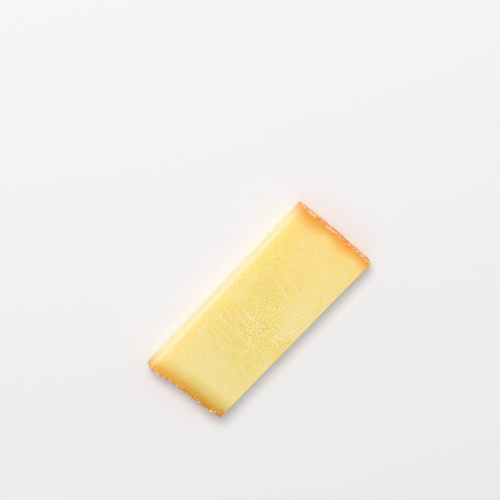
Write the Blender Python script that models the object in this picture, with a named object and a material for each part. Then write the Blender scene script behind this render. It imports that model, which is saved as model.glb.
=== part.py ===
"""A slice of comte, cut right across the wheel: a slab of firm pressed cheese with rind at both short ends.

Metres, +Z up. The slice lies on a cut face, at z = 0, and the origin is there, in the middle of the box.
+X runs from one flat face of the wheel to the other, so that both ends are rind, and +Y runs across the slice.
"""

import math

import bmesh
import bpy
from mathutils import Vector, noise

# The slab as the knife left it. The length is the wheel's height, and the widths are those of the upper face.
LENGTH = 0.100
WIDTH_FAR = 0.0417
WIDTH_NEAR = 0.0399
THICKNESS_FAR = 0.0087
THICKNESS_NEAR = 0.0093

# How far the cuts are from square. All four sides lean out towards the base, the long ones as a wedge's do.
SIDE_LEAN_FAR = math.radians(1.5)
SIDE_LEAN_NEAR = math.radians(7.5)
END_LEAN = math.radians(2.5)
SKEW_FAR = math.radians(1.8)
SKEW_NEAR = math.radians(5.6)

# The rind's slow swell. The far end is a little crowned, and the near end runs out, in and out again.
FAR_CROWN = 0.0004
NEAR_SWELL = 0.0003
SWELL_PEAK = -0.65
SWELL_PERIOD = 1.9

# The edges are blunt, as a thick blade leaves them in a firm and slightly oily paste, and along the +Y side the
# upper face falls off a little towards its edge.
EDGE_ROUND = 0.0008
EDGE_SEGMENTS = 3
SHOULDER_DROP = 0.00040
SHOULDER_REACH = 0.0050

# Relief. The rind is craggy, its cut rim has crumbled in places, and the cut faces are gently wavy.
CRAG_DEPTH = 0.00050
CRAG_SIZE = 0.0042
GRAIN_DEPTH = 0.00030
GRAIN_SIZE = 0.0016
CRUMBLE_DEPTH = 0.00042
CRUMBLE_SIZE = 0.0026
CRUMBLE_REACH = 0.0022
CRUMBLE_FROM = 0.05
CRUMBLE_TO = 0.45
WAVE_DEPTH = 0.00016
WAVE_SIZE = 0.017
RIND_SEED = Vector((3.7, 1.3, 8.9))
CRUMBLE_SEED = Vector((6.1, 4.4, 0.8))
WAVE_SEED = Vector((0.9, 7.2, 2.6))

# Where the mesh is cut for its relief: closely at the rind, and then in steps that grow towards the middle.
FIRST_STEP = 0.0007
STEP_GROWTH = 1.22
LONGEST_STEP = 0.0070
ACROSS_CUTS = 46
THICKNESS_CUTS = 9

# Worked out from the sizes above.
WIDTH = (WIDTH_FAR + WIDTH_NEAR) / 2
THICKNESS = (THICKNESS_FAR + THICKNESS_NEAR) / 2
HALF_LENGTH = LENGTH / 2
HALF_WIDTH = WIDTH / 2


def smooth_step(low, high, value):
    """0 below low, 1 above high, and an even S between."""
    share = min(max((value - low) / (high - low), 0.0), 1.0)
    return share * share * (3.0 - 2.0 * share)


def cuts_along():
    """Distances from the middle, along the slice, of the cuts that carry the relief."""
    places = []
    place = HALF_LENGTH - EDGE_ROUND
    step = FIRST_STEP
    while place > LONGEST_STEP / 2:
        places.append(place)
        place -= step
        step = min(step * STEP_GROWTH, LONGEST_STEP)
    return [-p for p in places] + [0.0] + places[::-1]


def even_cuts(low, high, count):
    """The places of the cuts that part low to high into count equal steps."""
    return [low + (high - low) * i / count for i in range(1, count)]


def square_block():
    """The slab as a true block with rounded edges, cut into the faces that the relief needs."""
    mesh = bmesh.new()
    bmesh.ops.create_cube(mesh, size=1.0)
    bmesh.ops.scale(mesh, vec=(LENGTH, WIDTH, THICKNESS), verts=mesh.verts)
    bmesh.ops.translate(mesh, vec=(0.0, 0.0, THICKNESS / 2), verts=mesh.verts)
    bmesh.ops.bevel(
        mesh,
        geom=mesh.edges[:],
        offset=EDGE_ROUND,
        offset_type="OFFSET",
        affect="EDGES",
        segments=EDGE_SEGMENTS,
        profile=0.5,
        material=-1,
    )
    inner_width = HALF_WIDTH - EDGE_ROUND
    for axis, places in (
        (Vector((1, 0, 0)), cuts_along()),
        (Vector((0, 1, 0)), even_cuts(-inner_width, inner_width, ACROSS_CUTS)),
        (Vector((0, 0, 1)), even_cuts(EDGE_ROUND, THICKNESS - EDGE_ROUND, THICKNESS_CUTS)),
    ):
        for place in places:
            everything = mesh.verts[:] + mesh.edges[:] + mesh.faces[:]
            bmesh.ops.bisect_plane(mesh, geom=everything, dist=1e-7, plane_co=axis * place, plane_no=axis)
    return mesh


def outward(point):
    """The way out of the rounded block at a point of its surface."""
    inner = Vector(
        (
            min(max(point.x, EDGE_ROUND - HALF_LENGTH), HALF_LENGTH - EDGE_ROUND),
            min(max(point.y, EDGE_ROUND - HALF_WIDTH), HALF_WIDTH - EDGE_ROUND),
            min(max(point.z, EDGE_ROUND), THICKNESS - EDGE_ROUND),
        )
    )
    return (point - inner).normalized()


def rind_height(point):
    """How far the rind stands out at a point: broad crags with finer ones on them."""
    crags = noise.fractal(point / CRAG_SIZE + RIND_SEED, 0.9, 2.0, 3)
    grains = noise.noise(point / GRAIN_SIZE + RIND_SEED)
    return CRAG_DEPTH * crags + GRAIN_DEPTH * grains


def crumble(point):
    """How much has crumbled away at a point near the rind's cut rim."""
    from_end = HALF_LENGTH - abs(point.x)
    from_cut = min(point.z, THICKNESS - point.z, HALF_WIDTH - abs(point.y))
    rim_share = 1.0 - smooth_step(0.0, CRUMBLE_REACH, max(from_end, from_cut))
    here = noise.noise(point / CRUMBLE_SIZE + CRUMBLE_SEED)
    return CRUMBLE_DEPTH * rim_share * smooth_step(CRUMBLE_FROM, CRUMBLE_TO, here)


def wave_height(point):
    """How far a cut face swells or dips at a point."""
    return WAVE_DEPTH * noise.fractal(point / WAVE_SIZE + WAVE_SEED, 1.0, 2.0, 2)


def relief(point, way):
    """How far the surface moves along its way out. The base, which the slice rests on, stays flat."""
    rind_share = way.x * way.x
    height = rind_share * rind_height(point) + (1.0 - rind_share) * wave_height(point)
    return smooth_step(0.0, EDGE_ROUND, point.z) * (height - crumble(point))


def as_cut(point):
    """Where a point of the true block lies on the slice that was cut."""
    across = point.y / HALF_WIDTH
    down = 1.0 - point.z / THICKNESS
    far_share = 0.5 + point.x / LENGTH
    near_share = 1.0 - far_share
    lean = SIDE_LEAN_FAR * far_share + SIDE_LEAN_NEAR * near_share
    y = across * (WIDTH_FAR * far_share + WIDTH_NEAR * near_share) / 2
    y += across * down * THICKNESS * math.tan(lean)
    x = point.x
    x += (far_share - near_share) * down * THICKNESS * math.tan(END_LEAN)
    x -= y * (math.tan(SKEW_FAR) * far_share + math.tan(SKEW_NEAR) * near_share)
    x += smooth_step(0.5, 1.0, far_share) * FAR_CROWN * (1.0 - across * across)
    swell = math.cos(2.0 * math.pi * (across - SWELL_PEAK) / SWELL_PERIOD)
    x -= smooth_step(0.5, 1.0, near_share) * NEAR_SWELL * swell
    shoulder = max(0.0, 1.0 - (HALF_WIDTH - point.y) / SHOULDER_REACH)
    z = (1.0 - down) * (THICKNESS_FAR * far_share + THICKNESS_NEAR * near_share - SHOULDER_DROP * shoulder**2)
    return Vector((x, y, z))


def one_base(mesh):
    """Joins the faces of the flat base into one."""
    base = [face for face in mesh.faces if all(abs(vert.co.z) < 1e-9 for vert in face.verts)]
    bmesh.ops.dissolve_faces(mesh, faces=base, use_verts=False)


def centre_on_base(mesh):
    """Moves the slice so that the origin is in the middle of its box, on the base."""
    for axis in (0, 1):
        places = [vert.co[axis] for vert in mesh.verts]
        middle = (min(places) + max(places)) / 2
        for vert in mesh.verts:
            vert.co[axis] -= middle


def slice_mesh():
    """The slice's closed mesh."""
    mesh = square_block()
    for vert in mesh.verts:
        way = outward(vert.co)
        vert.co = as_cut(vert.co + way * relief(vert.co, way))
    one_base(mesh)
    centre_on_base(mesh)
    bmesh.ops.recalc_face_normals(mesh, faces=mesh.faces)
    return mesh


def cheese_material():
    """Firm paste of a straw yellow, with the dull shine of a clean cut."""
    material = bpy.data.materials.new("comte_cheese")
    material.use_nodes = True
    shader = material.node_tree.nodes["Principled BSDF"]
    shader.inputs["Base Color"].default_value = (0.87, 0.69, 0.24, 1.0)
    shader.inputs["Roughness"].default_value = 0.45
    shader.inputs["Metallic"].default_value = 0.0
    return material


def add_slice():
    """The one object: the slice, shaded smooth over its waves and crags."""
    mesh = slice_mesh()
    data = bpy.data.meshes.new("comte_slice")
    mesh.to_mesh(data)
    mesh.free()
    data.shade_smooth()
    data.set_sharp_from_angle(angle=math.radians(50))
    data.materials.append(cheese_material())
    piece = bpy.data.objects.new("comte_slice", data)
    bpy.context.scene.collection.objects.link(piece)
    return piece


def main():
    for old in list(bpy.data.objects):
        bpy.data.objects.remove(old)
    add_slice()


main()
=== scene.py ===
"""One slice of comte on a plain pale floor: its cut paste, its craggy rind and the crumbs on it."""

import math
from typing import NamedTuple

import bmesh
import bpy
from bpy.props import FloatProperty, FloatVectorProperty, IntProperty, PointerProperty
from bpy.types import Material, NodeSocket, Operator, Panel, PropertyGroup
from mathutils import Matrix, Vector, noise


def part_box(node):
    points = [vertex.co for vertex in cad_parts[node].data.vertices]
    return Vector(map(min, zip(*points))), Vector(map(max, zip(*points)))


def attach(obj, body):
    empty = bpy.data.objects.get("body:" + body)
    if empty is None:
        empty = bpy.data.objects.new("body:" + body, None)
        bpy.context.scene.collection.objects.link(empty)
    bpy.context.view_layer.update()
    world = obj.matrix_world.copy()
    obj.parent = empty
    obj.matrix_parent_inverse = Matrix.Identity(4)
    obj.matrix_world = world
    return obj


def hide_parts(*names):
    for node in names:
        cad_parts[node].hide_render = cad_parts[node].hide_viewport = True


bl_info = {
    "name": "Comte Slice",
    "version": (1, 0, 0),
    "blender": (4, 5, 0),
    "location": "View3D > Sidebar > Comte",
    "description": "Makes a slice of comte with its paste, rind and crumbs, and a plain stage for it",
    "category": "Add Mesh",
}

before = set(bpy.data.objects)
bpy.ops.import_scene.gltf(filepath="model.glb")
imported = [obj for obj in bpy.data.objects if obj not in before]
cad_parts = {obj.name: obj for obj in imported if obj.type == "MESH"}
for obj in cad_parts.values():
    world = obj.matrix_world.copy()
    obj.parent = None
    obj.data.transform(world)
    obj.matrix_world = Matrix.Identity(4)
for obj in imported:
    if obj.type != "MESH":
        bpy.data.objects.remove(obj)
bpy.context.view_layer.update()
CAD_NODE = "comte_slice"
MM = 0.001

# The slab as the knife left it, as the solid has it. The length is the wheel's height.
LENGTH = 0.100
WIDTH_FAR = 0.0417
WIDTH_NEAR = 0.0399
THICKNESS_FAR = 0.0087
THICKNESS_NEAR = 0.0093
SIDE_LEAN_FAR = math.radians(1.5)
SIDE_LEAN_NEAR = math.radians(7.5)
END_LEAN = math.radians(2.5)
SKEW_FAR = math.radians(1.8)
SKEW_NEAR = math.radians(5.6)
FAR_CROWN = 0.0004
NEAR_SWELL = 0.0003
SWELL_PEAK = -0.65
SWELL_PERIOD = 1.9
EDGE_ROUND = 0.0008
SHOULDER_DROP = 0.00040
SHOULDER_REACH = 0.0050

# The solid's own relief.
CRAG_DEPTH = 0.00050
CRAG_SIZE = 0.0042
GRAIN_DEPTH = 0.00030
GRAIN_SIZE = 0.0016
CRUMBLE_DEPTH = 0.00042
CRUMBLE_SIZE = 0.0026
CRUMBLE_REACH = 0.0022
CRUMBLE_FROM = 0.05
CRUMBLE_TO = 0.45
WAVE_DEPTH = 0.00016
WAVE_SIZE = 0.017
RIND_SEED = Vector((3.7, 1.3, 8.9))
CRUMBLE_SEED = Vector((6.1, 4.4, 0.8))
WAVE_SEED = Vector((0.9, 7.2, 2.6))
PEBBLE_SEED = Vector((2.2, 5.9, 4.1))
FLECK_SEED = Vector((8.3, 0.6, 3.3))
PATCH_SEED = Vector((5.5, 2.1, 7.7))

# Worked out from the sizes above.
WIDTH = (WIDTH_FAR + WIDTH_NEAR) / 2
THICKNESS = (THICKNESS_FAR + THICKNESS_NEAR) / 2
HALF_LENGTH = LENGTH / 2
HALF_WIDTH = WIDTH / 2

# How far the finer slab may differ from the solid's box.
BOX_TOLERANCE = 0.0006


def linear(hex_colour):
    """The linear colour of an sRGB hex value."""
    shares = [int(hex_colour[i : i + 2], 16) / 255 for i in (0, 2, 4)]
    return tuple(s / 12.92 if s <= 0.04045 else ((s + 0.055) / 1.055) ** 2.4 for s in shares)


def colour(name, hex_colour, description):
    """A colour that a user may change."""
    return FloatVectorProperty(
        name=name,
        description=description,
        subtype="COLOR",
        size=3,
        min=0.0,
        max=1.0,
        default=linear(hex_colour),
    )


def length(name, metres, description):
    """A length that a user may change."""
    return FloatProperty(
        name=name,
        description=description,
        default=metres,
        min=0.0,
        precision=5,
        subtype="DISTANCE",
        unit="LENGTH",
    )


def factor(name, share, description, most=1.0):
    """A share of the whole that a user may change."""
    return FloatProperty(
        name=name, description=description, default=share, min=0.0, max=most, subtype="FACTOR"
    )


def count(name, number, least, most, description):
    """A whole number that a user may change."""
    return IntProperty(name=name, description=description, default=number, min=least, max=most)


class SliceShape(PropertyGroup):
    """How finely the slice is modelled, and the relief that is too fine for the solid."""

    along_strips: count("Strips along", 170, 40, 240, "Faces along the slice, closest at the rind")
    across_strips: count("Strips across", 110, 40, 160, "Faces across the slice")
    thickness_strips: count("Strips up", 24, 8, 48, "Faces through the slice's thickness")
    crowding: factor("Crowding", 0.62, "How much closer the strips lie at the rind than on average", 0.9)
    fine_reach: length("Fine reach", 2.4 * MM, "How far from the rind the mesh is twice as fine")
    pebble_depth: length("Pebble depth", 0.15 * MM, "How deep the cracks between the rind's grains are")
    pebble_size: length("Pebble size", 0.85 * MM, "How far the rind's grains lie apart")
    section_depth: length("Section roughness", 0.08 * MM, "How rough the rind is where it was cut through")
    section_reach: length("Section reach", 1.6 * MM, "How far that roughness reaches into the cut")
    warmth_reach: length("Warmth reach", 12.0 * MM, "How far the rind's warm colour reaches into the paste")


class PasteLook(PropertyGroup):
    """Colours and finish of the cut paste."""

    straw: colour("Straw", "f0dc7e", "The paste's main colour")
    pale: colour("Pale", "f1e2a3", "Where the paste is palest")
    deep: colour("Deep straw", "edd97a", "Where the paste is deepest")
    shade: colour("Shade", "e2c75e", "The hollows of the paste's fine grain")
    # Peach warms the far end, and the +Y side partly as painted light. Butter is painted light along the lit
    # +Y edge.
    peach: colour("Peach", "fbdd84", "The paste's warmer side")
    lit_edge_butter: colour("Butter", "ffe580", "The paste along the +Y side")
    # Cream is painted highlight and sheen on the upper long edges and the long sides.
    highlight_cream: colour("Cream", "fdebbe", "Where the blade left a dry pale edge")
    far_amber: colour("Far amber", "f4a22c", "The paste next to the far rind")
    far_apricot: colour("Far apricot", "f7bc58", "Three millimetres in from the far rind")
    far_honey: colour("Far honey", "fbd884", "Where the far rind's warmth ends")
    near_amber: colour("Near amber", "eeac38", "The paste next to the near rind")
    near_ochre: colour("Near ochre", "efba48", "Three millimetres in from the near rind")
    near_honey: colour("Near honey", "f2d470", "Where the near rind's warmth ends")
    # Painted shade: the colour that darkens the near rind's warmth towards the -Y side, away from the light.
    near_shade: colour("Aged", "dedca8", "What the near rind's warmth is darkened by towards the -Y side")
    blush: colour("Blush", "fbe5c6", "Pinkish curd grains, and what the knife dragged over the cut")
    # Spark is the painted glint of the sheen on the fine grain's tops; the crystals take it as their darker
    # tone.
    spark: colour("Spark", "fff6bc", "The tops of the paste's fine grains")
    crystal: colour("Crystal", "fff7d2", "The whitish crystals in the paste")
    roughness: factor("Roughness", 0.55, "How dull the cut is")


class RindLook(PropertyGroup):
    """Colours and finish of the rind."""

    brown: colour("Brown", "c4742e", "The rind's hollows")
    orange: colour("Orange", "f2a850", "The rind's main colour")
    ember: colour("Ember", "ec863a", "The rind's orange red grains")
    gold: colour("Gold", "f0a62a", "The grit where the far rind was cut through")
    salmon: colour("Salmon", "f7bd7a", "The rind's higher grains")
    bloom: colour("Bloom", "fde4d2", "The dry pinkish white bloom on its ridges")
    tan: colour("Tan", "de7e1c", "The hollows of the grit where the near rind was cut through")
    ochre: colour("Ochre", "ebac36", "That grit's main colour")
    wheat: colour("Wheat", "f6c660", "That grit's higher grains")
    # Painted shade: the colour that darkens the near rind's cut grit towards the -Y side, away from the
    # light.
    grit_shade: colour("Weathered", "d7c576", "What that grit is darkened by towards the -Y side")
    roughness: factor("Roughness", 0.85, "How dull the rind is")
    far_section: length("Far section", 1.8 * MM, "How thick the cut rind looks at the far end")
    near_section: length("Near section", 4.2 * MM, "How thick the cut rind looks at the near end")
    fleck_size: length("Fleck size", 0.50 * MM, "How thick the pale flecks on the rim are")
    grain_size: length("Grain size", 0.50 * MM, "How large the orange grains on the rind are")
    crumb_size: length("Crumb size", 0.40 * MM, "How large the brown crumbs on the rind are")
    speck_size: length("Speck size", 0.45 * MM, "How large the pale specks in the paste next to the rind are")
    crystal_size: length("Crystal size", 0.45 * MM, "How large the whitish crystals in the paste are")


class StageLook(PropertyGroup):
    """The floor, the lights and the camera."""

    floor: colour("Floor", "edeff4", "The floor's colour")
    floor_size: length("Floor size", 4.0, "How wide the floor is")
    key_power: FloatProperty(
        name="Key light", description="Power of the large soft light", default=18.8, min=0.0, unit="POWER"
    )
    key_colour: colour("Key colour", "fff8ee", "The large soft light's colour")
    sky_strength: FloatProperty(
        name="Sky", description="Strength of the even light all round", default=0.60, min=0.0
    )


def smooth_step(low, high, value):
    """0 below low, 1 above high, and an even S between."""
    share = min(max((value - low) / (high - low), 0.0), 1.0)
    return share * share * (3.0 - 2.0 * share)


def outward(point):
    """The way out of the rounded block at a point of its surface."""
    inner = Vector(
        (
            min(max(point.x, EDGE_ROUND - HALF_LENGTH), HALF_LENGTH - EDGE_ROUND),
            min(max(point.y, EDGE_ROUND - HALF_WIDTH), HALF_WIDTH - EDGE_ROUND),
            min(max(point.z, EDGE_ROUND), THICKNESS - EDGE_ROUND),
        )
    )
    return (point - inner).normalized()


def rind_height(point):
    """How far the rind stands out at a point: broad crags with finer ones on them."""
    crags = noise.fractal(point / CRAG_SIZE + RIND_SEED, 0.9, 2.0, 3)
    grains = noise.noise(point / GRAIN_SIZE + RIND_SEED)
    return CRAG_DEPTH * crags + GRAIN_DEPTH * grains


def rim_distance(point):
    """How far a point of the surface lies from the rim where the rind meets a cut."""
    from_end = HALF_LENGTH - abs(point.x)
    from_cut = min(point.z, THICKNESS - point.z, HALF_WIDTH - abs(point.y))
    return max(from_end, from_cut)


def crumble(point):
    """How much has crumbled away at a point near the rind's cut rim."""
    rim_share = 1.0 - smooth_step(0.0, CRUMBLE_REACH, rim_distance(point))
    here = noise.noise(point / CRUMBLE_SIZE + CRUMBLE_SEED)
    return CRUMBLE_DEPTH * rim_share * smooth_step(CRUMBLE_FROM, CRUMBLE_TO, here)


def wave_height(point):
    """How far a cut face swells or dips at a point."""
    return WAVE_DEPTH * noise.fractal(point / WAVE_SIZE + WAVE_SEED, 1.0, 2.0, 2)


# The rind's close-set grains, in shares of their size: how far and how finely they are bent out of round, how
# wide the slopes of their cracks are, and how large the grit on them is.
PEBBLE_BEND = 0.55
PEBBLE_BEND_SIZE = 0.9
PEBBLE_SLOPE = 0.45
GRIT_SIZE = 0.45
# The height that counts as the rind's own, how high the grit is, and how much of both the near rind has kept.
PEBBLE_LEVEL = 0.8
GRIT_HEIGHT = 0.7
NEAR_WEAR = 0.6


def pebble(point, size):
    """Close-set uneven grains: 0 in the cracks between them, 1 on their tops."""
    bent = PEBBLE_BEND * noise.noise_vector(point / (PEBBLE_BEND_SIZE * size) + FLECK_SEED)
    nearest = noise.voronoi(point / size + bent + PEBBLE_SEED)[0]
    return smooth_step(0.0, PEBBLE_SLOPE, nearest[1] - nearest[0])


def relief(point, way, shape):
    """How far the surface moves along its way out, and how high its grain is there, from about -1 to 1."""
    rind_share = way.x * way.x
    height = rind_share * rind_height(point) + (1.0 - rind_share) * wave_height(point)
    height -= crumble(point)
    from_end = HALF_LENGTH - abs(point.x)
    section = (1.0 - rind_share) * (1.0 - smooth_step(0.5, 1.0, from_end / shape.section_reach))
    grain = 0.0
    if rind_share + section > 0.0:
        fine = noise.noise(point / (shape.pebble_size * GRIT_SIZE) + RIND_SEED)
        grain = pebble(point, shape.pebble_size) - PEBBLE_LEVEL + GRIT_HEIGHT * fine
        worn = 1.0 if point.x > 0.0 else NEAR_WEAR
        height += grain * (shape.pebble_depth * rind_share + shape.section_depth * section) * worn
    return smooth_step(0.0, EDGE_ROUND, point.z) * height, grain


def as_cut(point):
    """Where a point of the true block lies on the slice that was cut."""
    across = point.y / HALF_WIDTH
    down = 1.0 - point.z / THICKNESS
    far_share = 0.5 + point.x / LENGTH
    near_share = 1.0 - far_share
    lean = SIDE_LEAN_FAR * far_share + SIDE_LEAN_NEAR * near_share
    y = across * (WIDTH_FAR * far_share + WIDTH_NEAR * near_share) / 2
    y += across * down * THICKNESS * math.tan(lean)
    x = point.x
    x += (far_share - near_share) * down * THICKNESS * math.tan(END_LEAN)
    x -= y * (math.tan(SKEW_FAR) * far_share + math.tan(SKEW_NEAR) * near_share)
    x += smooth_step(0.5, 1.0, far_share) * FAR_CROWN * (1.0 - across * across)
    swell = math.cos(2.0 * math.pi * (across - SWELL_PEAK) / SWELL_PERIOD)
    x -= smooth_step(0.5, 1.0, near_share) * NEAR_SWELL * swell
    shoulder = max(0.0, 1.0 - (HALF_WIDTH - point.y) / SHOULDER_REACH)
    z = (1.0 - down) * (THICKNESS_FAR * far_share + THICKNESS_NEAR * near_share - SHOULDER_DROP * shoulder**2)
    return Vector((x, y, z))


def rounded_block():
    """The slab as a true block with rounded edges."""
    mesh = bmesh.new()
    bmesh.ops.create_cube(mesh, size=1.0)
    bmesh.ops.scale(mesh, vec=(LENGTH, WIDTH, THICKNESS), verts=mesh.verts)
    bmesh.ops.translate(mesh, vec=(0.0, 0.0, THICKNESS / 2), verts=mesh.verts)
    rounding = {"offset": EDGE_ROUND, "offset_type": "OFFSET", "segments": 4, "profile": 0.5}
    bmesh.ops.bevel(mesh, geom=mesh.edges[:], affect="EDGES", material=-1, **rounding)
    return mesh


def cut_into_strips(mesh, axis, strips):
    """Cuts every long edge that runs along an axis into equal parts, which grids the faces between them."""
    shortest = EDGE_ROUND * 2
    running = [
        edge
        for edge in mesh.edges
        if abs(edge.verts[0].co[axis] - edge.verts[1].co[axis]) > max(shortest, edge.calc_length() * 0.999)
    ]
    bmesh.ops.subdivide_edges(mesh, edges=running, cuts=strips - 1, use_grid_fill=True)


def crowd_towards_rind(mesh, crowding):
    """Moves the cuts along the slice so that they lie closer together near the rind."""
    reach = HALF_LENGTH - EDGE_ROUND
    for vert in mesh.verts:
        share = vert.co.x / reach
        if abs(share) < 1.0:
            vert.co.x = reach * ((1.0 - crowding) * share + crowding * math.sin(share * math.pi / 2))


def refine_rind(mesh, reach):
    """Halves the faces within a reach of the rind."""
    limit = HALF_LENGTH - reach
    close = [edge for edge in mesh.edges if all(abs(vert.co.x) > limit for vert in edge.verts)]
    bmesh.ops.subdivide_edges(mesh, edges=close, cuts=1, use_grid_fill=True)


def centre_on_base(mesh):
    """Moves the slice so that the origin is in the middle of its box, on the base."""
    for axis in (0, 1):
        places = [vert.co[axis] for vert in mesh.verts]
        middle = (min(places) + max(places)) / 2
        for vert in mesh.verts:
            vert.co[axis] -= middle


# The painted highlight along the upper long edges: its widths, wide on the lit +Y edge and narrow on the -Y
# edge, and its strength. Then the painted sheen on the long sides, strongest on the lit +Y side. Near the
# rind less of both is painted, so the paste keeps some of its warmth there.
LIT_EDGE_BAND = 3.0 * MM
FAR_EDGE_BAND = 1.2 * MM
EDGE_HIGHLIGHT = 0.95
LIT_SIDE_SHEEN = 0.82
FAR_SIDE_SHEEN = 0.5
END_HIGHLIGHT_SHARE = 0.25
WARM_END_REACH = 14 * MM


def painted_edge_highlight(point, way):
    """How much painted highlight a point of the cut has: most at the long upper edges, and some painted sheen
    on the long sides.
    """
    from_edge = max(THICKNESS - point.z, HALF_WIDTH - abs(point.y))
    lit = point.y > 0.0
    at_edge = 1.0 - smooth_step(0.0, 1.0, from_edge / (LIT_EDGE_BAND if lit else FAR_EDGE_BAND))
    on_side = (LIT_SIDE_SHEEN if lit else FAR_SIDE_SHEEN) * way.y * way.y
    from_end = smooth_step(0.0, WARM_END_REACH, HALF_LENGTH - abs(point.x))
    return max(EDGE_HIGHLIGHT * at_edge, on_side) * (END_HIGHLIGHT_SHARE + (1.0 - END_HIGHLIGHT_SHARE) * from_end)


# The far rind's warmth reaches in waves along the rim: how much deeper, where one peak lies, and how far
# apart the peaks lie, both as shares of half the width. Both ends' warmth is a little uneven as well.
WARMTH_SWELL = 0.20
WARMTH_PEAK = 0.56
WARMTH_PERIOD = 0.83
WARMTH_UNEVEN = 0.22
WARMTH_UNEVEN_SIZE = 10 * MM
# How much less deep the near rind's warmth is at the -Y side.
NEAR_TAPER = 0.20
# How far to both sides of the middle the looks of the two ends meet.
ENDS_MEET = 10 * MM


def warmth_depth(point, reach):
    """How far into the rind's warmth a point lies: 0 at the rind, and 1 where its warmth ends."""
    across = point.y / HALF_WIDTH
    far_share = smooth_step(-ENDS_MEET, ENDS_MEET, point.x)
    wave = math.cos(2.0 * math.pi * (across - WARMTH_PEAK) / WARMTH_PERIOD)
    stretch = 1.0 + WARMTH_SWELL * far_share * wave
    stretch -= NEAR_TAPER * (1.0 - far_share) * smooth_step(0.0, 1.0, -across)
    stretch += WARMTH_UNEVEN * noise.noise(point / WARMTH_UNEVEN_SIZE + PATCH_SEED)
    return (HALF_LENGTH - abs(point.x)) / (reach * stretch)


# Ranges over which the covers of the strewn pieces change: off the slice's foot, onto the upper cut, into the
# older half of the near end, in from the long sides, and in from the rind for grains, specks and crystals.
ABOVE_FOOT = (0.6 * MM, 1.4 * MM)
UPPER_CUT = (0.5, 0.9)
OLDER_ALONG = (30 * MM, 40 * MM)
OLDER_ACROSS = (-5 * MM, 6 * MM)
OFF_SIDES = (0.3 * MM, 1.8 * MM)
CUT_GRAINS_END = (0.6 * MM, 2.4 * MM)
SPECKS_START = (0.6 * MM, 1.4 * MM)
CRYSTALS_INSIDE = (18 * MM, 34 * MM)
# Sizes of the patches in which they lie.
FLECK_PATCH = 3.5 * MM
SPECK_PATCH = 5.0 * MM
CRYSTAL_PATCH = 9 * MM
# Shares of them that lie outside their main places, and how densely grains lie in the cut edge.
SCATTERED_FLECKS = 0.4
FAR_SPECK_SHARE = 0.3
FAINT_CRYSTALS = 0.35
CUT_GRAINS = 1.8


def off_base(point):
    """1 above the slice's foot, and 0 near the flat face that it rests on."""
    return smooth_step(*ABOVE_FOOT, point.z)


# The clearest groups of pale flecks on the far upper rim: the middle of each along Y, and half of its length.
FLECK_GROUPS = (
    (14.4 * MM, 3.2 * MM),
    (3.4 * MM, 3.4 * MM),
    (-3.0 * MM, 1.4 * MM),
    (-10.2 * MM, 1.2 * MM),
    (-14.6 * MM, 1.0 * MM),
    (-17.8 * MM, 0.9 * MM),
)


def older_near_end(point):
    """1 in the older half of the near end, towards the -Y side, and 0 elsewhere."""
    return smooth_step(*OLDER_ALONG, -point.x) * smooth_step(*OLDER_ACROSS, -point.y)


def fleck_cover(point, way):
    """Where pale flecks lie on the rind's edge: grouped along the far upper rim, and scattered elsewhere."""
    toward_minus_y = older_near_end(point)
    reach_here = (0.6 + 1.0 * max(toward_minus_y, way.x * way.x)) * MM
    near_rim = 1.0 - smooth_step(0.2, 1.0, rim_distance(point) / reach_here)
    near_rim *= smooth_step(*OFF_SIDES, HALF_WIDTH - abs(point.y))
    scattered = SCATTERED_FLECKS + (1.0 - SCATTERED_FLECKS) * toward_minus_y
    scattered *= smooth_step(-0.15, 0.30, noise.noise(point / FLECK_PATCH + FLECK_SEED))
    grouped = max(1.0 - smooth_step(0.3, 1.0, abs(point.y - y) / reach) for y, reach in FLECK_GROUPS)
    upper_far = smooth_step(0.0, 10 * MM, point.x) * smooth_step(0.5, 0.7, point.z / THICKNESS)
    return near_rim * max(scattered, grouped * upper_far) * off_base(point)


def grain_cover(point, way):
    """Where orange and brown grains lie: on the rind, and in the older half of the near rind's cut edge."""
    on_rind = smooth_step(0.3, 0.8, way.x * way.x)
    close = 1.0 - smooth_step(*CUT_GRAINS_END, HALF_LENGTH - abs(point.x))
    in_cut = CUT_GRAINS * older_near_end(point) * close * (1.0 - way.x * way.x)
    return max(on_rind, in_cut) * off_base(point)


# How deep the pale specks lie in the paste next to the near rind and the far one.
NEAR_SPECKS = 6.0 * MM
FAR_SPECKS = 3.6 * MM


def speck_cover(point, way):
    """Where pale specks lie in the warm paste of the upper cut: in patches, and fewer at the far end."""
    far = point.x > 0.0
    from_end = HALF_LENGTH - abs(point.x)
    band = smooth_step(*SPECKS_START, from_end) * smooth_step(*UPPER_CUT, way.z)
    band *= 1.0 - smooth_step(0.4, 1.0, from_end / (FAR_SPECKS if far else NEAR_SPECKS))
    patch = smooth_step(-0.3, 0.2, noise.noise(point / SPECK_PATCH + PATCH_SEED))
    return band * patch * (FAR_SPECK_SHARE if far else 1.0) * off_base(point)


# The patch of the upper cut where the curd grain shows best: its middle and its reach along X and Y.
GRAIN_MIDDLE = Vector((-0.5 * MM, -5.5 * MM))
GRAIN_REACH = Vector((23 * MM, 17 * MM))


def crystal_cover(point, way):
    """Where the paste's grain and crystals show: clearly in one patch of the upper cut, faintly in others."""
    away = math.hypot((point.x - GRAIN_MIDDLE.x) / GRAIN_REACH.x, (point.y - GRAIN_MIDDLE.y) / GRAIN_REACH.y)
    clear = 1.0 - smooth_step(0.4, 1.0, away)
    inside = smooth_step(*CRYSTALS_INSIDE, HALF_LENGTH - abs(point.x))
    patch = smooth_step(-0.35, 0.35, noise.noise(point / CRYSTAL_PATCH + PATCH_SEED))
    faint = FAINT_CRYSTALS * inside * patch
    return max(clear * (0.5 + 0.5 * patch), faint) * smooth_step(*UPPER_CUT, way.z)


# How much thinner the cut rind looks on the long sides.
SIDE_THINNING = 1.5
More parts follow.
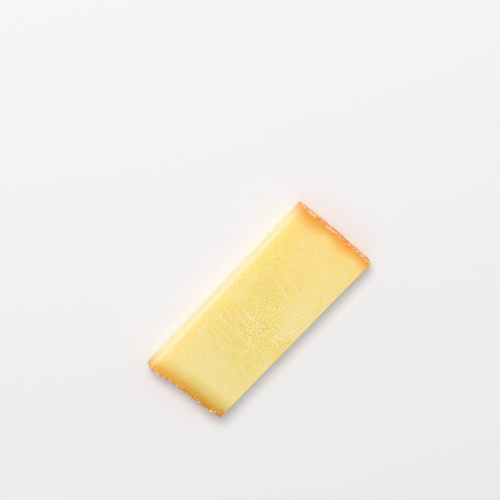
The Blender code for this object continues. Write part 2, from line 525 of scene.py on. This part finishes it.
# What the slab's vertices keep of their place, for the material and for the strewn pieces. Pale is how much
# highlight and sheen is painted there.
KEPT = ("from_rind", "warmth_depth", "rind", "grain", "pale")
COVERS = {
    "fleck_cover": fleck_cover,
    "grain_cover": grain_cover,
    "speck_cover": speck_cover,
    "crystal_cover": crystal_cover,
}


def fine_slice(shape):
    """The slice's fine mesh, with what its vertices keep of their place."""
    mesh = rounded_block()
    for axis, strips in enumerate((shape.along_strips, shape.across_strips, shape.thickness_strips)):
        cut_into_strips(mesh, axis, strips)
    crowd_towards_rind(mesh, shape.crowding)
    refine_rind(mesh, shape.fine_reach)
    layers = {name: mesh.verts.layers.float.new(name) for name in (*KEPT, *COVERS)}
    for vert in mesh.verts:
        point = vert.co.copy()
        way = outward(point)
        height, grain = relief(point, way, shape)
        from_rind = (HALF_LENGTH - abs(point.x)) / MM
        vert[layers["from_rind"]] = from_rind * (1.0 + SIDE_THINNING * way.y * way.y)
        vert[layers["warmth_depth"]] = warmth_depth(point, shape.warmth_reach)
        vert[layers["rind"]] = way.x * way.x
        vert[layers["grain"]] = grain
        vert[layers["pale"]] = painted_edge_highlight(point, way)
        for name, cover in COVERS.items():
            vert[layers[name]] = cover(point, way)
        vert.co = as_cut(point + way * height)
    centre_on_base(mesh)
    bmesh.ops.recalc_face_normals(mesh, faces=mesh.faces)
    return mesh


def add_piece(name, data, material):
    """Puts a finished mesh in the scene as a piece that rides on the slice's only body."""
    data.materials.append(material)
    data.shade_smooth()
    piece = bpy.data.objects.new(name, data)
    bpy.context.scene.collection.objects.link(piece)
    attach(piece, "root")
    return piece


# The kinds of node that are used most.
MATH = "ShaderNodeMath"
MIX = "ShaderNodeMix"
NOISE = "ShaderNodeTexNoise"
RAMP = "ShaderNodeValToRGB"
RANGE = "ShaderNodeMapRange"


def add_node(tree, kind, inputs=None, stops=None, **settings):
    """Adds a node. Inputs are values or sockets to link, by name or place, and stops fill a colour ramp."""
    node = tree.nodes.new(kind)
    for name, value in settings.items():
        setattr(node, name, value)
    if stops:
        elements = node.color_ramp.elements
        while len(elements) > 1:
            elements.remove(elements[-1])
        for number, (place, stop) in enumerate(stops):
            element = elements[0] if number == 0 else elements.new(place)
            element.position = place
            element.color = stop if len(stop) == 4 else (*stop, 1.0)
    for name, value in (inputs or {}).items():
        if isinstance(value, NodeSocket):
            tree.links.new(value, node.inputs[name])
        else:
            node.inputs[name].default_value = value
    return node


def new_material(name):
    """An empty node material, its tree, and the Principled shader that feeds its output."""
    material = bpy.data.materials.new(name)
    material.use_nodes = True
    tree = material.node_tree
    tree.nodes.clear()
    shader = add_node(tree, "ShaderNodeBsdfPrincipled")
    add_node(tree, "ShaderNodeOutputMaterial", {"Surface": shader.outputs[0]})
    return material, tree, shader


# Sizes of the patterns in the cheese's colour and of the knife's marks.
CLOUD_SIZE = 24 * MM
CUT_GRIT_SIZE = 0.55 * MM
CRUST_PATCH = 3.5 * MM
WANDER_SIZE = 10 * MM
STREAK_WIDTH = 1.0 * MM
BREAK_UP_SIZE = 0.8 * MM
CURD_SIZE = 1.2 * MM
FINE_GRAIN_SIZE = 0.5 * MM
MOTTLE_SIZE = 1.6 * MM

# Where the paste's tones come in: at the far end, on the +Y side, at the near end and along the +Y edge. The
# tone on the +Y side is partly painted light, and the one along the +Y edge is painted light, both brighter
# towards the +Y side, where the light comes from. Each has its axis, where it starts, where it is full, and
# its share there.
TONE_RANGES = (
    ("X", -5 * MM, 40 * MM, 0.60),
    ("Y", -6 * MM, 22 * MM, 0.55),
    ("X", -14 * MM, -36 * MM, 0.75),
    ("Y", 8 * MM, 20 * MM, 0.75),
)


def cut_paste(tree, place, axes, paste):
    """The cut's colour: faintly cloudy, warmer towards the far end, paler at the near end, and with painted
    light towards the +Y side: warmer there, partly the paste's own warmth, and brightest along the +Y edge."""
    cloud = add_node(
        tree, NOISE, {"Vector": place, "Scale": 1 / CLOUD_SIZE, "Detail": 2.0, "Roughness": 0.5}
    )
    clouded = add_node(
        tree,
        RAMP,
        {"Fac": cloud.outputs["Fac"]},
        stops=((0.36, paste.deep), (0.50, paste.straw), (0.64, paste.pale)),
    )
    far, side, near, lit_edge_light = (
        add_node(
            tree,
            RANGE,
            {"Value": axes.outputs[axis], "From Min": nothing, "From Max": full, "To Max": most},
            interpolation_type="SMOOTHSTEP",
        ).outputs[0]
        for axis, nothing, full, most in TONE_RANGES
    )
    warm = add_node(tree, MATH, {0: far, 1: side}, operation="MAXIMUM").outputs[0]
    colour_here = clouded.outputs[0]
    # On the +Y side the peach is partly painted light, and the butter along the +Y edge is painted light.
    for share, tone in ((warm, paste.peach), (near, paste.pale), (lit_edge_light, paste.lit_edge_butter)):
        colour_here = add_node(
            tree, MIX, {"Factor": share, "A": colour_here, "B": (*tone, 1.0)}, data_type="RGBA"
        ).outputs["Result"]
    return colour_here


def rind_warmth(tree, depth, far_share, toward_minus_y, base, paste):
    """The rind's warm colour fading into the paste. The two ends have taken different colours with age, and
    painted shade darkens the near one towards the -Y side."""
    ends = []
    for first, second, last, last_share, end in (
        (paste.far_amber, paste.far_apricot, paste.far_honey, 0.8, 1.0),
        (paste.near_amber, paste.near_ochre, paste.near_honey, 0.75, 0.90),
    ):
        tones = ((*first, 1.0), (*second, 0.95), (*last, last_share), (*last, 0.0))
        stops = tuple(zip((0.10, 0.26, 0.52, end), tones))
        ends.append(add_node(tree, RAMP, {"Fac": depth}, stops=stops))
    far, near = ends
    # Painted shade: the near end's warmth darkens towards the -Y side.
    near_shaded = add_node(
        tree,
        MIX,
        {"Factor": toward_minus_y, "A": near.outputs["Color"], "B": (*paste.near_shade, 1.0)},
        data_type="RGBA",
        blend_type="MULTIPLY",
    )
    warm = add_node(
        tree,
        MIX,
        {"Factor": far_share, "A": near_shaded.outputs["Result"], "B": far.outputs["Color"]},
        data_type="RGBA",
    )
    share = add_node(
        tree, MIX, {"Factor": far_share, "A": near.outputs["Alpha"], "B": far.outputs["Alpha"]}
    )
    warmed = add_node(
        tree, MIX, {"Factor": share.outputs[0], "A": base, "B": warm.outputs["Result"]}, data_type="RGBA"
    )
    return warmed.outputs["Result"]


def rind_section(tree, place, from_rind, far_share, toward_minus_y, base, paste, rind):
    """The gritty band where the rind was cut through. Gives the colour, how much of it is rind, and how high
    the grit is."""
    grit = add_node(
        tree, NOISE, {"Vector": place, "Scale": 1 / CUT_GRIT_SIZE, "Detail": 2.0, "Roughness": 0.6}
    )
    far_grit, near_grit = (
        add_node(tree, RAMP, {"Fac": grit.outputs["Fac"]}, stops=stops)
        for stops in (
            ((0.34, rind.ember), (0.43, rind.gold), (0.54, rind.orange), (0.64, rind.salmon)),
            ((0.38, rind.tan), (0.47, rind.ochre), (0.55, rind.wheat), (0.64, paste.far_honey)),
        )
    )
    # Painted shade: the near grit darkens towards the -Y side.
    grit_shade = add_node(
        tree,
        MIX,
        {"Factor": toward_minus_y, "A": near_grit.outputs[0], "B": (*rind.grit_shade, 1.0)},
        data_type="RGBA",
        blend_type="MULTIPLY",
    )
    gritty = add_node(
        tree,
        MIX,
        {"Factor": far_share, "A": grit_shade.outputs["Result"], "B": far_grit.outputs[0]},
        data_type="RGBA",
    )
    ragged = add_node(
        tree,
        RANGE,
        {"Value": grit.outputs["Fac"], "From Min": 0.3, "From Max": 0.7, "To Min": -0.7, "To Max": 0.7},
    )
    depth = add_node(tree, MATH, {0: from_rind, 1: ragged.outputs[0]}, operation="ADD")
    thickness = add_node(
        tree, RANGE, {"Value": far_share, "To Min": rind.near_section / MM, "To Max": rind.far_section / MM}
    )
    filled = add_node(tree, MATH, {0: depth.outputs[0], 1: thickness.outputs[0]}, operation="DIVIDE")
    share = add_node(
        tree,
        RANGE,
        {"Value": filled.outputs[0], "From Min": 0.2, "From Max": 1.2, "To Min": 0.7, "To Max": 0.0},
    )
    sectioned = add_node(
        tree, MIX, {"Factor": share.outputs[0], "A": base, "B": gritty.outputs["Result"]}, data_type="RGBA"
    )
    return sectioned.outputs["Result"], share.outputs[0], grit.outputs["Fac"]


def rind_crust(tree, place, rind_share, grain, base, rind):
    """The rind's outer face: brown cracks, orange to salmon grains, and a pinkish bloom on the ridges."""
    spread = add_node(
        tree, NOISE, {"Vector": place, "Scale": 1 / CRUST_PATCH, "Detail": 4.0, "Roughness": 0.62}
    )
    lift = add_node(tree, MATH, {0: grain, 1: 0.15, 2: spread.outputs["Fac"]}, operation="MULTIPLY_ADD")
    tones = (rind.brown, rind.ember, rind.orange, rind.salmon, rind.bloom)
    crust = add_node(
        tree, RAMP, {"Fac": lift.outputs[0]}, stops=tuple(zip((0.23, 0.33, 0.42, 0.53, 0.68), tones))
    )
    share = add_node(tree, RANGE, {"Value": rind_share, "From Min": 0.3, "From Max": 0.7})
    crusted = add_node(
        tree, MIX, {"Factor": share.outputs[0], "A": base, "B": crust.outputs[0]}, data_type="RGBA"
    )
    return crusted.outputs["Result"]


# The knife's clearest marks. Each has its middle, its length along the cut, its width and how clear it is.
KNIFE_MARKS = (
    (15.4 * MM, 0.4 * MM, 34 * MM, 4.4 * MM, 0.50),
    (20.2 * MM, -1.5 * MM, 24 * MM, 3.4 * MM, 0.34),
    (-3.9 * MM, 0.4 * MM, 27 * MM, 1.8 * MM, 0.80),
    (-12.9 * MM, -2.5 * MM, 21 * MM, 1.6 * MM, 0.66),
    (-24.4 * MM, 0.6 * MM, 15 * MM, 1.6 * MM, 0.46),
    (-8.3 * MM, 10.4 * MM, 15 * MM, 1.4 * MM, 0.42),
    (26.0 * MM, -16.0 * MM, 9 * MM, 3.2 * MM, 0.50),
)
# How far the knife's way leans and wanders to either side, and how the streaks are drawn out along it.
MARK_LEAN = 0.23
WANDER = 0.9 * MM
STREAK_STRETCH = (1.0, 0.11, 0.11)


def along_knife(tree, place, axes):
    """The place by the knife's way, which leans and wanders a little: X across that way, and Y along it."""
    wander = add_node(tree, NOISE, {"Vector": place, "Scale": 1 / WANDER_SIZE, "Detail": 1.0})
    bend = add_node(tree, RANGE, {"Value": wander.outputs["Fac"], "To Min": -WANDER, "To Max": WANDER})
    leaned = add_node(
        tree, MATH, {0: axes.outputs["Y"], 1: -MARK_LEAN, 2: axes.outputs["X"]}, operation="MULTIPLY_ADD"
    )
    drift = add_node(tree, MATH, {0: leaned.outputs[0], 1: bend.outputs[0]}, operation="ADD")
    return add_node(
        tree, "ShaderNodeCombineXYZ", {"X": drift.outputs[0], "Y": axes.outputs["Y"], "Z": axes.outputs["Z"]}
    ).outputs[0]


def knife_marks(tree, place, axes, knife_way, base, paste):
    """What the knife dragged over the cut: a few clear marks, and faint streaks of 1 mm by 9 mm in the nearer
    middle. All run nearly across the slice and break up at the grain's size. Gives the colour and the marks'
    height."""
    clear = 0.0
    for x, y, long, wide, strength in KNIFE_MARKS:
        shrink = (2 / wide, 2 / long, 0.0)
        middle = ((x - MARK_LEAN * y) * shrink[0], y * shrink[1], 0.0)
        sized = add_node(tree, "ShaderNodeVectorMath", {0: knife_way, 1: shrink}, operation="MULTIPLY")
        away = add_node(tree, "ShaderNodeVectorMath", {0: sized.outputs[0], 1: middle}, operation="DISTANCE")
        mark = add_node(
            tree,
            RANGE,
            {"Value": away.outputs["Value"], "From Min": 0.2, "To Min": strength, "To Max": 0.0},
            interpolation_type="SMOOTHSTEP",
        )
        clear = add_node(tree, MATH, {0: clear, 1: mark.outputs[0]}, operation="MAXIMUM").outputs[0]
    drawn_out = add_node(tree, "ShaderNodeMapping", {"Vector": knife_way, "Scale": STREAK_STRETCH})
    streaks = add_node(
        tree, NOISE, {"Vector": drawn_out.outputs[0], "Scale": 1 / STREAK_WIDTH, "Detail": 1.0}
    )
    lined = add_node(
        tree, RANGE, {"Value": streaks.outputs["Fac"], "From Min": 0.38, "From Max": 0.58, "To Min": 0.2}
    )
    combed = add_node(tree, MATH, {0: clear, 1: lined.outputs[0]}, operation="MULTIPLY")
    faint = add_node(
        tree, RANGE, {"Value": streaks.outputs["Fac"], "From Min": 0.51, "From Max": 0.64, "To Max": 0.42}
    )
    for start, full in ((18 * MM, -4 * MM), (-36 * MM, -26 * MM)):
        inside = add_node(tree, RANGE, {"Value": axes.outputs["X"], "From Min": start, "From Max": full})
        faint = add_node(tree, MATH, {0: faint.outputs[0], 1: inside.outputs[0]}, operation="MULTIPLY")
    both = add_node(tree, MATH, {0: combed.outputs[0], 1: faint.outputs[0]}, operation="MAXIMUM")
    crumbled = add_node(tree, NOISE, {"Vector": place, "Scale": 1 / BREAK_UP_SIZE, "Detail": 1.0})
    broken = add_node(
        tree, RANGE, {"Value": crumbled.outputs["Fac"], "From Min": 0.36, "From Max": 0.58, "To Min": 0.45}
    )
    share = add_node(tree, MATH, {0: both.outputs[0], 1: broken.outputs[0]}, operation="MULTIPLY")
    marked = add_node(
        tree, MIX, {"Factor": share.outputs[0], "A": base, "B": (*paste.blush, 1.0)}, data_type="RGBA"
    )
    return marked.outputs["Result"], share.outputs[0]


def paste_grain(tree, place, knife_way, cover, base, paste):
    """The paste's curd grain, clearest in patches: fine grains with painted glints on their tops and painted
    shade in their hollows, drawn out along the knife's way, and larger pinkish ones. The real fine grain is
    too fine to show, so it is drawn half a millimetre wide. Gives the colour and the grain's height."""
    shown = add_node(tree, RANGE, {"Value": cover, "To Min": 0.22, "To Max": 1.0})
    curds = add_node(tree, NOISE, {"Vector": place, "Scale": 1 / CURD_SIZE, "Detail": 2.0})
    dragged = add_node(tree, "ShaderNodeMapping", {"Vector": knife_way, "Scale": (1.0, 0.6, 1.0)})
    grain = add_node(
        tree, NOISE, {"Vector": dragged.outputs[0], "Scale": 1 / FINE_GRAIN_SIZE, "Detail": 1.0}
    )
    colour_here = base
    # Pinkish curds, then painted shade in the fine grain's hollows and painted glints on its tops.
    for pattern, tone, nothing, full, most in (
        (curds, paste.blush, 0.52, 0.72, 0.22),
        (grain, paste.shade, 0.48, 0.32, 0.85),
        (grain, paste.spark, 0.54, 0.67, 0.9),
    ):
        tops = add_node(
            tree,
            RANGE,
            {"Value": pattern.outputs["Fac"], "From Min": nothing, "From Max": full, "To Max": most},
        )
        share = add_node(tree, MATH, {0: tops.outputs[0], 1: shown.outputs[0]}, operation="MULTIPLY")
        colour_here = add_node(
            tree, MIX, {"Factor": share.outputs[0], "A": colour_here, "B": (*tone, 1.0)}, data_type="RGBA"
        ).outputs["Result"]
    return colour_here, grain.outputs["Fac"]


# How high the knife's marks, the curd grain and the cut rind's grit stand.
MARK_BUMP = 0.03 * MM
GRAIN_BUMP = 0.06 * MM
GRIT_BUMP = 0.30 * MM


def cheese_material(paste, rind):
    """Cooked pressed cheese, cut with a large knife. The cut is dense and slightly oily, so it shines a
    little and light sinks a little way in. Its washed rind is dry, grainy and dull."""
    material, tree, shader = new_material("cut_pressed_cheese")
    place = add_node(tree, "ShaderNodeTexCoord").outputs["Object"]
    axes = add_node(tree, "ShaderNodeSeparateXYZ", {0: place})
    kept = {
        name: add_node(tree, "ShaderNodeAttribute", attribute_name=name).outputs["Fac"]
        for name in (*KEPT, "crystal_cover")
    }
    # How far towards the far end, and how much painted shade: none 20 mm towards +Y, full 20 mm towards -Y.
    far_share, toward_minus_y = (
        add_node(
            tree, RANGE, {"Value": axes.outputs[axis], "From Min": nothing, "From Max": full}
        ).outputs[0]
        for axis, nothing, full in (("X", -ENDS_MEET, ENDS_MEET), ("Y", 20 * MM, -20 * MM))
    )
    knife_way = along_knife(tree, place, axes)
    colour_here = cut_paste(tree, place, axes, paste)
    colour_here, grain_height = paste_grain(tree, place, knife_way, kept["crystal_cover"], colour_here, paste)
    colour_here, mark_height = knife_marks(tree, place, axes, knife_way, colour_here, paste)
    colour_here = rind_warmth(tree, kept["warmth_depth"], far_share, toward_minus_y, colour_here, paste)
    mottle = add_node(tree, NOISE, {"Vector": place, "Scale": 1 / MOTTLE_SIZE, "Detail": 3.0})
    patchy = add_node(
        tree,
        RANGE,
        {"Value": mottle.outputs["Fac"], "From Min": 0.35, "From Max": 0.6, "To Min": 0.8, "To Max": 1.02},
    )
    # Painted highlight and sheen: cream over the upper long edges and the long sides, a little mottled.
    pale = add_node(tree, MATH, {0: kept["pale"], 1: patchy.outputs[0]}, operation="MULTIPLY")
    colour_here = add_node(
        tree, MIX, {"Factor": pale.outputs[0], "A": colour_here, "B": (*paste.highlight_cream, 1.0)}, data_type="RGBA"
    ).outputs["Result"]
    colour_here, section_share, grit_height = rind_section(
        tree, place, kept["from_rind"], far_share, toward_minus_y, colour_here, paste, rind
    )
    colour_here = rind_crust(tree, place, kept["rind"], kept["grain"], colour_here, rind)
    # Rougher where the rind was cut and where the highlight is painted.
    dry = add_node(tree, MATH, {0: section_share, 1: kept["pale"]}, operation="MAXIMUM")
    roughness = add_node(
        tree, RANGE, {"Value": dry.outputs[0], "To Min": paste.roughness, "To Max": rind.roughness}
    )
    below = {}
    for height, distance, strength in (
        (mark_height, MARK_BUMP, 0.5),
        (grain_height, GRAIN_BUMP, kept["crystal_cover"]),
        (grit_height, GRIT_BUMP, section_share),
    ):
        bump = add_node(
            tree, "ShaderNodeBump", {"Height": height, "Distance": distance, "Strength": strength, **below}
        )
        below = {"Normal": bump.outputs[0]}
    tree.links.new(colour_here, shader.inputs["Base Color"])
    tree.links.new(roughness.outputs[0], shader.inputs["Roughness"])
    tree.links.new(bump.outputs[0], shader.inputs["Normal"])
    shader.inputs["IOR"].default_value = 1.45
    shader.inputs["Subsurface Weight"].default_value = 0.35
    shader.inputs["Subsurface Radius"].default_value = (1.0, 0.7, 0.3)
    shader.inputs["Subsurface Scale"].default_value = 0.7 * MM
    return material


def crumb_material(name, low, high, grain_size, roughness):
    """A dry crumb of rind or paste, dull, and mottled between two colours at its own grain's size."""
    material, tree, shader = new_material(name)
    place = add_node(tree, "ShaderNodeTexCoord").outputs["Object"]
    mottle = add_node(tree, NOISE, {"Vector": place, "Scale": 1 / grain_size, "Detail": 2.0})
    mixed = add_node(tree, RAMP, {"Fac": mottle.outputs["Fac"]}, stops=((0.34, low), (0.48, high)))
    bump = add_node(
        tree, "ShaderNodeBump", {"Height": mottle.outputs["Fac"], "Distance": 0.05 * MM, "Strength": 0.6}
    )
    tree.links.new(mixed.outputs[0], shader.inputs["Base Color"])
    tree.links.new(bump.outputs[0], shader.inputs["Normal"])
    shader.inputs["Roughness"].default_value = roughness
    return material


# How much a grain's own size varies along X, Y and Z. Flecks lie along the rim and are turned little, and the
# other grains are round and turned any way.
FLECK_SCALES = ((0.6, 1.2, 0.5), (1.2, 3.0, 1.0))
FLECK_TURN = 0.35
ROUND_SCALES = ((0.5, 0.5, 0.4), (1.15, 1.15, 0.9))
ROUND_TURN = 3.0


class Strewn(NamedTuple):
    """One kind of small thing that lies on the slab: where, how many, how large and of what material."""

    name: str
    cover: str
    per_mm2: float
    size: float
    seed: int
    material: Material
    slot: str = "rind"
    scales: tuple = ROUND_SCALES
    turn: float = ROUND_TURN


def strewing_tree(kind):
    """Geometry nodes that strew uneven grains where a cover is high, each half sunk in the surface."""
    tree = bpy.data.node_groups.new(kind.name, "GeometryNodeTree")
    tree.interface.new_socket("Geometry", in_out="INPUT", socket_type="NodeSocketGeometry")
    tree.interface.new_socket("Geometry", in_out="OUTPUT", socket_type="NodeSocketGeometry")
    surface = add_node(tree, "NodeGroupInput").outputs[0]
    cover = add_node(tree, "GeometryNodeInputNamedAttribute", {"Name": kind.cover}, data_type="FLOAT")
    density = add_node(tree, MATH, {0: cover.outputs[0], 1: kind.per_mm2 / MM**2}, operation="MULTIPLY")
    strewn = add_node(
        tree,
        "GeometryNodeDistributePointsOnFaces",
        {"Mesh": surface, "Density": density.outputs[0], "Seed": kind.seed},
        distribute_method="RANDOM",
    )
    most = Vector((kind.turn,) * 3)
    turn = add_node(
        tree,
        "FunctionNodeRandomValue",
        {"Min": -most, "Max": most, "Seed": kind.seed + 1},
        data_type="FLOAT_VECTOR",
    )
    scale = add_node(
        tree,
        "FunctionNodeRandomValue",
        {"Min": kind.scales[0], "Max": kind.scales[1], "Seed": kind.seed + 2},
        data_type="FLOAT_VECTOR",
    )
    ball = add_node(tree, "GeometryNodeMeshIcoSphere", {"Radius": kind.size / 2, "Subdivisions": 2})
    placed = add_node(
        tree,
        "GeometryNodeInstanceOnPoints",
        {
            "Points": strewn.outputs["Points"],
            "Instance": ball.outputs[0],
            "Rotation": turn.outputs[0],
            "Scale": scale.outputs[0],
        },
    )
    real = add_node(tree, "GeometryNodeRealizeInstances", {"Geometry": placed.outputs[0]})
    lumps = add_node(tree, NOISE, {"Scale": 1 / (kind.size * 0.7), "Detail": 1.0})
    middle = add_node(
        tree, "ShaderNodeVectorMath", {0: lumps.outputs["Color"], 1: (0.5, 0.5, 0.5)}, operation="SUBTRACT"
    )
    shift = add_node(
        tree, "ShaderNodeVectorMath", {0: middle.outputs[0], "Scale": kind.size * 0.8}, operation="SCALE"
    )
    uneven = add_node(
        tree, "GeometryNodeSetPosition", {"Geometry": real.outputs[0], "Offset": shift.outputs[0]}
    )
    add_node(tree, "NodeGroupOutput", {0: uneven.outputs[0]})
    return tree


def strew(slab, kind):
    """One kind of grain over the slab as one real mesh, made by geometry nodes that are then applied."""
    carrier = bpy.data.objects.new(kind.name + "_carrier", slab.data)
    bpy.context.scene.collection.objects.link(carrier)
    modifier = carrier.modifiers.new("strew", "NODES")
    modifier.node_group = strewing_tree(kind)
    depsgraph = bpy.context.evaluated_depsgraph_get()
    data = bpy.data.meshes.new_from_object(carrier.evaluated_get(depsgraph))
    data.name = kind.name
    data.materials.clear()
    bpy.data.objects.remove(carrier)
    return add_piece(kind.name, data, kind.material)


class COMTE_OT_slice(Operator):
    """Make the slice's fine slab, with its paste and rind"""

    bl_idname = "comte.slice"
    bl_label = "Slice"

    def execute(self, context):
        scene = context.scene
        mesh = fine_slice(scene.comte_shape)
        data = bpy.data.meshes.new("cut_slab")
        mesh.to_mesh(data)
        mesh.free()
        slab = add_piece("cut_slab", data, cheese_material(scene.comte_paste, scene.comte_rind))
        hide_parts(CAD_NODE)
        for corner, outermost in zip(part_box(CAD_NODE), (min, max)):
            for axis in range(3):
                place = outermost(vert.co[axis] for vert in data.vertices)
                if abs(place - corner[axis]) > BOX_TOLERANCE:
                    raise RuntimeError(f"the fine slab ends at {place:.5f}, the solid at {corner[axis]:.5f}")
        return {"FINISHED"}


class COMTE_OT_crumbs(Operator):
    """Strew flecks, orange grains and brown crumbs over the rind, and specks and crystals over the cut"""

    bl_idname = "comte.crumbs"
    bl_label = "Crumbs"

    def execute(self, context):
        rind = context.scene.comte_rind
        paste = context.scene.comte_paste
        slab = bpy.data.objects["cut_slab"]
        dull = rind.roughness
        drawn_out = {"scales": FLECK_SCALES, "turn": FLECK_TURN}
        flecks = crumb_material("dry_rind_bloom", rind.salmon, rind.bloom, 2 * rind.fleck_size, dull)
        grains = crumb_material("washed_rind_grain", rind.ember, rind.orange, rind.grain_size, dull)
        crumbs = crumb_material("dark_rind_crumb", rind.brown, rind.orange, rind.crumb_size, dull)
        specks = crumb_material("pale_paste_speck", paste.near_ochre, paste.far_honey, rind.speck_size, dull)
        crystals = crumb_material(
            "amino_acid_crystal", paste.spark, paste.crystal, rind.crystal_size, paste.roughness
        )
        for kind in (
            Strewn("rind_flecks", "fleck_cover", 3.1, rind.fleck_size, 11, flecks, **drawn_out),
            Strewn("rind_grains", "grain_cover", 0.5, rind.grain_size, 23, grains),
            Strewn("rind_crumbs", "grain_cover", 0.12, rind.crumb_size, 37, crumbs),
            Strewn("paste_specks", "speck_cover", 1.0, rind.speck_size, 41, specks, "cheese"),
            Strewn("paste_crystals", "crystal_cover", 0.20, rind.crystal_size, 53, crystals, "cheese"),
        ):
            strew(slab, kind)
        return {"FINISHED"}


class COMTE_OT_stage(Operator):
    """Make the floor, the lights and the camera"""

    bl_idname = "comte.stage"
    bl_label = "Stage"

    def execute(self, context):
        scene = context.scene
        look = scene.comte_stage
        add_floor(look)
        add_lights(scene, look)
        add_camera(scene)
        return {"FINISHED"}


def add_floor(look):
    """A matt pale floor, a hair under the slice."""
    mesh = bmesh.new()
    bmesh.ops.create_grid(mesh, x_segments=1, y_segments=1, size=look.floor_size / 2)
    bmesh.ops.translate(mesh, vec=(0.0, 0.0, -0.05 * MM), verts=mesh.verts)
    data = bpy.data.meshes.new("floor")
    mesh.to_mesh(data)
    mesh.free()
    material, _, shader = new_material("matt_floor_board")
    shader.inputs["Base Color"].default_value = (*look.floor, 1.0)
    shader.inputs["Roughness"].default_value = 0.9
    data.materials.append(material)
    floor = bpy.data.objects.new("floor", data)
    bpy.context.scene.collection.objects.link(floor)


# The large soft light stands beyond the slice's +X +Y corner, which is the photograph's top.
KEY_PLACE = Vector((0.61, 0.94, 1.44))
KEY_SIZE = 0.90


def add_lights(scene, look):
    """One large soft light from the +Y side and an even white sky."""
    lamp = bpy.data.lights.new("key", "AREA")
    lamp.shape = "DISK"
    lamp.size = KEY_SIZE
    lamp.energy = look.key_power
    lamp.color = look.key_colour
    light = bpy.data.objects.new("key", lamp)
    light.location = KEY_PLACE
    light.rotation_euler = (-KEY_PLACE).to_track_quat("-Z", "Y").to_euler()
    scene.collection.objects.link(light)
    world = bpy.data.worlds.new("sky")
    world.use_nodes = True
    world.node_tree.nodes.clear()
    sky = add_node(
        world.node_tree,
        "ShaderNodeBackground",
        {"Color": (1.0, 1.0, 1.0, 1.0), "Strength": look.sky_strength},
    )
    add_node(world.node_tree, "ShaderNodeOutputWorld", {"Surface": sky.outputs[0]})
    scene.world = world
    scene.view_settings.view_transform = "Standard"


# The camera as in the photograph: almost straight down, and turned so that the slice runs up to the right.
TILT_X = math.radians(8.6)
TILT_Y = math.radians(12.5)
ROLL = math.radians(-47.86)
AIM = Vector((0.01827, 0.02200, 0.0))
CAMERA_DISTANCE = 0.8945
LENS_MM = 142.56
SENSOR_MM = 36.0


def add_camera(scene):
    """The camera at the photograph's viewing angle."""
    back = Vector((math.tan(TILT_X), math.tan(TILT_Y), 1.0)).normalized()
    level = Vector((math.cos(ROLL), math.sin(ROLL), 0.0))
    right = (level - back * level.dot(back)).normalized()
    up = back.cross(right)
    turn = Matrix((right, up, back)).transposed()
    camera = bpy.data.objects.new("camera", bpy.data.cameras.new("camera"))
    camera.matrix_world = Matrix.Translation(AIM + back * CAMERA_DISTANCE) @ turn.to_4x4()
    camera.data.lens = LENS_MM
    camera.data.sensor_width = SENSOR_MM
    camera.data.clip_start = 0.01
    scene.collection.objects.link(camera)
    scene.camera = camera


class COMTE_PT_panel(Panel):
    """Lists the slice's settings and its pieces"""

    bl_idname = "COMTE_PT_panel"
    bl_label = "Comte Slice"
    bl_space_type = "VIEW_3D"
    bl_region_type = "UI"
    bl_category = "Comte"

    def draw(self, context):
        scene = context.scene
        for group in (scene.comte_shape, scene.comte_paste, scene.comte_rind, scene.comte_stage):
            box = self.layout.box()
            for name in group.__annotations__:
                box.prop(group, name)
        for operator in OPERATORS:
            self.layout.operator(operator.bl_idname)


GROUPS = {
    "comte_shape": SliceShape,
    "comte_paste": PasteLook,
    "comte_rind": RindLook,
    "comte_stage": StageLook,
}
OPERATORS = (COMTE_OT_slice, COMTE_OT_crumbs, COMTE_OT_stage)
CLASSES = (*GROUPS.values(), *OPERATORS, COMTE_PT_panel)


def register():
    for each in CLASSES:
        bpy.utils.register_class(each)
    for name, group in GROUPS.items():
        setattr(bpy.types.Scene, name, PointerProperty(type=group))


def unregister():
    for name in GROUPS:
        delattr(bpy.types.Scene, name)
    for each in reversed(CLASSES):
        bpy.utils.unregister_class(each)


def main():
    register()
    bpy.ops.comte.slice()
    bpy.ops.comte.crumbs()
    bpy.ops.comte.stage()


if __name__ == "__main__":
    main()
